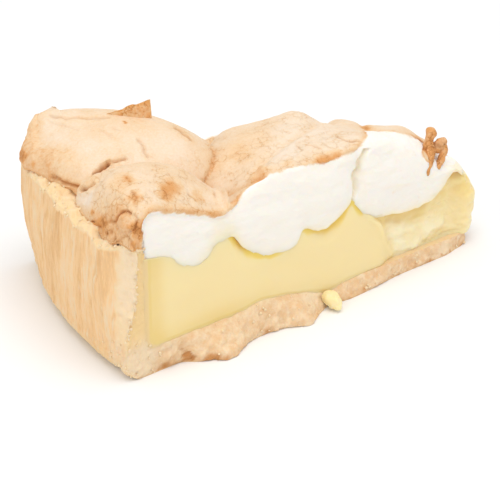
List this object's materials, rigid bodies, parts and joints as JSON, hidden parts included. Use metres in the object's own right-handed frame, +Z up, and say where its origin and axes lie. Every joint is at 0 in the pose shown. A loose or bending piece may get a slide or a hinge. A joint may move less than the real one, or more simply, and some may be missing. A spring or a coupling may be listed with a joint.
{
  "type": "slice of lemon meringue pie",
  "caption": "Cut slice of lemon meringue pie: pastry base and wall, lemon curd layer and a thick baked meringue top.",
  "frame": {"origin": "on the surface that the slice rests on, under the middle of its bounding box", "axes": "+X towards the cut nose of the slice, -X towards the pastry wall, +Y towards the back cut face, +Z up"},
  "size_m": [0.1171, 0.0666, 0.0496],
  "materials": {
    "pastry": "matt baked shortcrust",
    "curd": "smooth, slightly moist lemon curd",
    "meringue": "soft white foam under a toasted skin"
  },
  "bodies": {
    "root": {"crust": "pastry", "curd": "curd", "curd_drip": "curd", "meringue": "meringue"}
  },
  "joints": []
}
